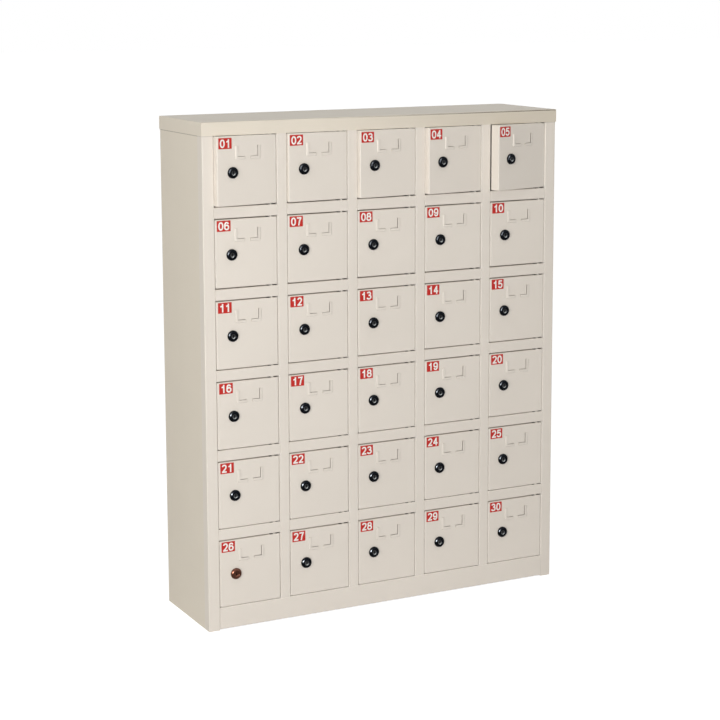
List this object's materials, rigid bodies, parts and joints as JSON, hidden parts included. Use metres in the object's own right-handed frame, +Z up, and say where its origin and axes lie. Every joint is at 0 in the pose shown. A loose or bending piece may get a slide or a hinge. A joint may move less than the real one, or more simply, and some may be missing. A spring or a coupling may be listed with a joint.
{
  "type": "phone storage locker",
  "caption": "Sheet steel cabinet of small numbered compartments for phones, each with a door on hidden pin hinges and a cam lock.",
  "frame": {"origin": "middle of the carcass on the surface that it stands on", "axes": "+X to the right as seen from the doors, +Y from the doors to the back, +Z up"},
  "size_m": [0.726, 0.2216, 0.916],
  "materials": {
    "cream_paint": "satin powder coat, fine orange peel",
    "lock_metal": "dark nickel plate, polished"
  },
  "bodies": {
    "carcass": {"top_cap": "cream_paint", "side_panels": "cream_paint", "front_stiles": "cream_paint", "back_panel": "cream_paint", "bottom_panel": "cream_paint", "base_rail": "cream_paint", "front_posts": "cream_paint", "cross_rails": "cream_paint", "partitions": "cream_paint", "shelves": "cream_paint"},
    "door_01": {"door_01": "cream_paint"},
    "door_02": {"door_02": "cream_paint"},
    "door_03": {"door_03": "cream_paint"},
    "door_04": {"door_04": "cream_paint"},
    "door_05": {"door_05": "cream_paint"},
    "door_06": {"door_06": "cream_paint"},
    "door_07": {"door_07": "cream_paint"},
    "door_08": {"door_08": "cream_paint"},
    "door_09": {"door_09": "cream_paint"},
    "door_10": {"door_10": "cream_paint"},
    "door_11": {"door_11": "cream_paint"},
    "door_12": {"door_12": "cream_paint"},
    "door_13": {"door_13": "cream_paint"},
    "door_14": {"door_14": "cream_paint"},
    "door_15": {"door_15": "cream_paint"},
    "door_16": {"door_16": "cream_paint"},
    "door_17": {"door_17": "cream_paint"},
    "door_18": {"door_18": "cream_paint"},
    "door_19": {"door_19": "cream_paint"},
    "door_20": {"door_20": "cream_paint"},
    "door_21": {"door_21": "cream_paint"},
    "door_22": {"door_22": "cream_paint"},
    "door_23": {"door_23": "cream_paint"},
    "door_24": {"door_24": "cream_paint"},
    "door_25": {"door_25": "cream_paint"},
    "door_26": {"door_26": "cream_paint"},
    "door_27": {"door_27": "cream_paint"},
    "door_28": {"door_28": "cream_paint"},
    "door_29": {"door_29": "cream_paint"},
    "door_30": {"door_30": "cream_paint"},
    "lock_06": {"lock_plug_06": "lock_metal"},
    "lock_07": {"lock_plug_07": "lock_metal"},
    "lock_08": {"lock_plug_08": "lock_metal"},
    "lock_09": {"lock_plug_09": "lock_metal"},
    "lock_10": {"lock_plug_10": "lock_metal"},
    "lock_11": {"lock_plug_11": "lock_metal"},
    "lock_12": {"lock_plug_12": "lock_metal"},
    "lock_13": {"lock_plug_13": "lock_metal"},
    "lock_14": {"lock_plug_14": "lock_metal"},
    "lock_15": {"lock_plug_15": "lock_metal"},
    "lock_16": {"lock_plug_16": "lock_metal"},
    "lock_17": {"lock_plug_17": "lock_metal"},
    "lock_18": {"lock_plug_18": "lock_metal"},
    "lock_19": {"lock_plug_19": "lock_metal"},
    "lock_20": {"lock_plug_20": "lock_metal"},
    "lock_21": {"lock_plug_21": "lock_metal"},
    "lock_22": {"lock_plug_22": "lock_metal"},
    "lock_23": {"lock_plug_23": "lock_metal"},
    "lock_24": {"lock_plug_24": "lock_metal"},
    "lock_25": {"lock_plug_25": "lock_metal"}
  },
  "joints": [
    {"name": "door_01_hinge", "type": "hinge", "parent": "carcass", "child": "door_01", "pos_m": [-0.2311, -0.095, 0.8295], "axis": [0, 0, 1], "range_deg": [-5.5, 104.5]},
    {"name": "door_02_hinge", "type": "hinge", "parent": "carcass", "child": "door_02", "pos_m": [-0.0911, -0.095, 0.8295], "axis": [0, 0, 1], "range_deg": [-2, 108]},
    {"name": "door_03_hinge", "type": "hinge", "parent": "carcass", "child": "door_03", "pos_m": [0.0489, -0.095, 0.8295], "axis": [0, 0, 1], "range_deg": [-4, 106]},
    {"name": "door_04_hinge", "type": "hinge", "parent": "carcass", "child": "door_04", "pos_m": [0.1889, -0.095, 0.8295], "axis": [0, 0, 1], "range_deg": [-5.5, 104.5]},
    {"name": "door_05_hinge", "type": "hinge", "parent": "carcass", "child": "door_05", "pos_m": [0.3289, -0.095, 0.8295], "axis": [0, 0, 1], "range_deg": [-11.5, 98.5]},
    {"name": "door_06_hinge", "type": "hinge", "parent": "carcass", "child": "door_06", "pos_m": [-0.2311, -0.095, 0.6845], "axis": [0, 0, 1], "range_deg": [0, 110]},
    {"name": "door_07_hinge", "type": "hinge", "parent": "carcass", "child": "door_07", "pos_m": [-0.0911, -0.095, 0.6845], "axis": [0, 0, 1], "range_deg": [0, 110]},
    {"name": "door_08_hinge", "type": "hinge", "parent": "carcass", "child": "door_08", "pos_m": [0.0489, -0.095, 0.6845], "axis": [0, 0, 1], "range_deg": [0, 110]},
    {"name": "door_09_hinge", "type": "hinge", "parent": "carcass", "child": "door_09", "pos_m": [0.1889, -0.095, 0.6845], "axis": [0, 0, 1], "range_deg": [0, 110]},
    {"name": "door_10_hinge", "type": "hinge", "parent": "carcass", "child": "door_10", "pos_m": [0.3289, -0.095, 0.6845], "axis": [0, 0, 1], "range_deg": [0, 110]},
    {"name": "door_11_hinge", "type": "hinge", "parent": "carcass", "child": "door_11", "pos_m": [-0.2311, -0.095, 0.5395], "axis": [0, 0, 1], "range_deg": [0, 110]},
    {"name": "door_12_hinge", "type": "hinge", "parent": "carcass", "child": "door_12", "pos_m": [-0.0911, -0.095, 0.5395], "axis": [0, 0, 1], "range_deg": [0, 110]},
    {"name": "door_13_hinge", "type": "hinge", "parent": "carcass", "child": "door_13", "pos_m": [0.0489, -0.095, 0.5395], "axis": [0, 0, 1], "range_deg": [0, 110]},
    {"name": "door_14_hinge", "type": "hinge", "parent": "carcass", "child": "door_14", "pos_m": [0.1889, -0.095, 0.5395], "axis": [0, 0, 1], "range_deg": [0, 110]},
    {"name": "door_15_hinge", "type": "hinge", "parent": "carcass", "child": "door_15", "pos_m": [0.3289, -0.095, 0.5395], "axis": [0, 0, 1], "range_deg": [0, 110]},
    {"name": "door_16_hinge", "type": "hinge", "parent": "carcass", "child": "door_16", "pos_m": [-0.2311, -0.095, 0.3945], "axis": [0, 0, 1], "range_deg": [0, 110]},
    {"name": "door_17_hinge", "type": "hinge", "parent": "carcass", "child": "door_17", "pos_m": [-0.0911, -0.095, 0.3945], "axis": [0, 0, 1], "range_deg": [0, 110]},
    {"name": "door_18_hinge", "type": "hinge", "parent": "carcass", "child": "door_18", "pos_m": [0.0489, -0.095, 0.3945], "axis": [0, 0, 1], "range_deg": [0, 110]},
    {"name": "door_19_hinge", "type": "hinge", "parent": "carcass", "child": "door_19", "pos_m": [0.1889, -0.095, 0.3945], "axis": [0, 0, 1], "range_deg": [0, 110]},
    {"name": "door_20_hinge", "type": "hinge", "parent": "carcass", "child": "door_20", "pos_m": [0.3289, -0.095, 0.3945], "axis": [0, 0, 1], "range_deg": [0, 110]},
    {"name": "door_21_hinge", "type": "hinge", "parent": "carcass", "child": "door_21", "pos_m": [-0.2311, -0.095, 0.2495], "axis": [0, 0, 1], "range_deg": [0, 110]},
    {"name": "door_22_hinge", "type": "hinge", "parent": "carcass", "child": "door_22", "pos_m": [-0.0911, -0.095, 0.2495], "axis": [0, 0, 1], "range_deg": [0, 110]},
    {"name": "door_23_hinge", "type": "hinge", "parent": "carcass", "child": "door_23", "pos_m": [0.0489, -0.095, 0.2495], "axis": [0, 0, 1], "range_deg": [0, 110]},
    {"name": "door_24_hinge", "type": "hinge", "parent": "carcass", "child": "door_24", "pos_m": [0.1889, -0.095, 0.2495], "axis": [0, 0, 1], "range_deg": [0, 110]},
    {"name": "door_25_hinge", "type": "hinge", "parent": "carcass", "child": "door_25", "pos_m": [0.3289, -0.095, 0.2495], "axis": [0, 0, 1], "range_deg": [0, 110]},
    {"name": "door_26_hinge", "type": "hinge", "parent": "carcass", "child": "door_26", "pos_m": [-0.2311, -0.095, 0.1045], "axis": [0, 0, 1], "range_deg": [0, 110]},
    {"name": "door_27_hinge", "type": "hinge", "parent": "carcass", "child": "door_27", "pos_m": [-0.0911, -0.095, 0.1045], "axis": [0, 0, 1], "range_deg": [0, 110]},
    {"name": "door_28_hinge", "type": "hinge", "parent": "carcass", "child": "door_28", "pos_m": [0.0489, -0.095, 0.1045], "axis": [0, 0, 1], "range_deg": [0, 110]},
    {"name": "door_29_hinge", "type": "hinge", "parent": "carcass", "child": "door_29", "pos_m": [0.1889, -0.095, 0.1045], "axis": [0, 0, 1], "range_deg": [0, 110]},
    {"name": "door_30_hinge", "type": "hinge", "parent": "carcass", "child": "door_30", "pos_m": [0.3289, -0.095, 0.1045], "axis": [0, 0, 1], "range_deg": [0, 110]},
    {"name": "lock_06_turn", "type": "hinge", "parent": "door_06", "child": "lock_06", "pos_m": [-0.3087, -0.1, 0.6822], "axis": [0, 1, 0], "range_deg": [0, 90]},
    {"name": "lock_07_turn", "type": "hinge", "parent": "door_07", "child": "lock_07", "pos_m": [-0.1687, -0.1, 0.6822], "axis": [0, 1, 0], "range_deg": [0, 90]},
    {"name": "lock_08_turn", "type": "hinge", "parent": "door_08", "child": "lock_08", "pos_m": [-0.0287, -0.1, 0.6822], "axis": [0, 1, 0], "range_deg": [0, 90]},
    {"name": "lock_09_turn", "type": "hinge", "parent": "door_09", "child": "lock_09", "pos_m": [0.1113, -0.1, 0.6822], "axis": [0, 1, 0], "range_deg": [0, 90]},
    {"name": "lock_10_turn", "type": "hinge", "parent": "door_10", "child": "lock_10", "pos_m": [0.2513, -0.1, 0.6822], "axis": [0, 1, 0], "range_deg": [0, 90]},
    {"name": "lock_11_turn", "type": "hinge", "parent": "door_11", "child": "lock_11", "pos_m": [-0.3087, -0.1, 0.5372], "axis": [0, 1, 0], "range_deg": [0, 90]},
    {"name": "lock_12_turn", "type": "hinge", "parent": "door_12", "child": "lock_12", "pos_m": [-0.1687, -0.1, 0.5372], "axis": [0, 1, 0], "range_deg": [0, 90]},
    {"name": "lock_13_turn", "type": "hinge", "parent": "door_13", "child": "lock_13", "pos_m": [-0.0287, -0.1, 0.5372], "axis": [0, 1, 0], "range_deg": [0, 90]},
    {"name": "lock_14_turn", "type": "hinge", "parent": "door_14", "child": "lock_14", "pos_m": [0.1113, -0.1, 0.5372], "axis": [0, 1, 0], "range_deg": [0, 90]},
    {"name": "lock_15_turn", "type": "hinge", "parent": "door_15", "child": "lock_15", "pos_m": [0.2513, -0.1, 0.5372], "axis": [0, 1, 0], "range_deg": [0, 90]},
    {"name": "lock_16_turn", "type": "hinge", "parent": "door_16", "child": "lock_16", "pos_m": [-0.3087, -0.1, 0.3922], "axis": [0, 1, 0], "range_deg": [0, 90]},
    {"name": "lock_17_turn", "type": "hinge", "parent": "door_17", "child": "lock_17", "pos_m": [-0.1687, -0.1, 0.3922], "axis": [0, 1, 0], "range_deg": [0, 90]},
    {"name": "lock_18_turn", "type": "hinge", "parent": "door_18", "child": "lock_18", "pos_m": [-0.0287, -0.1, 0.3922], "axis": [0, 1, 0], "range_deg": [0, 90]},
    {"name": "lock_19_turn", "type": "hinge", "parent": "door_19", "child": "lock_19", "pos_m": [0.1113, -0.1, 0.3922], "axis": [0, 1, 0], "range_deg": [0, 90]},
    {"name": "lock_20_turn", "type": "hinge", "parent": "door_20", "child": "lock_20", "pos_m": [0.2513, -0.1, 0.3922], "axis": [0, 1, 0], "range_deg": [0, 90]},
    {"name": "lock_21_turn", "type": "hinge", "parent": "door_21", "child": "lock_21", "pos_m": [-0.3087, -0.1, 0.2472], "axis": [0, 1, 0], "range_deg": [0, 90]},
    {"name": "lock_22_turn", "type": "hinge", "parent": "door_22", "child": "lock_22", "pos_m": [-0.1687, -0.1, 0.2472], "axis": [0, 1, 0], "range_deg": [0, 90]},
    {"name": "lock_23_turn", "type": "hinge", "parent": "door_23", "child": "lock_23", "pos_m": [-0.0287, -0.1, 0.2472], "axis": [0, 1, 0], "range_deg": [0, 90]},
    {"name": "lock_24_turn", "type": "hinge", "parent": "door_24", "child": "lock_24", "pos_m": [0.1113, -0.1, 0.2472], "axis": [0, 1, 0], "range_deg": [0, 90]},
    {"name": "lock_25_turn", "type": "hinge", "parent": "door_25", "child": "lock_25", "pos_m": [0.2513, -0.1, 0.2472], "axis": [0, 1, 0], "range_deg": [0, 90]}
  ]
}
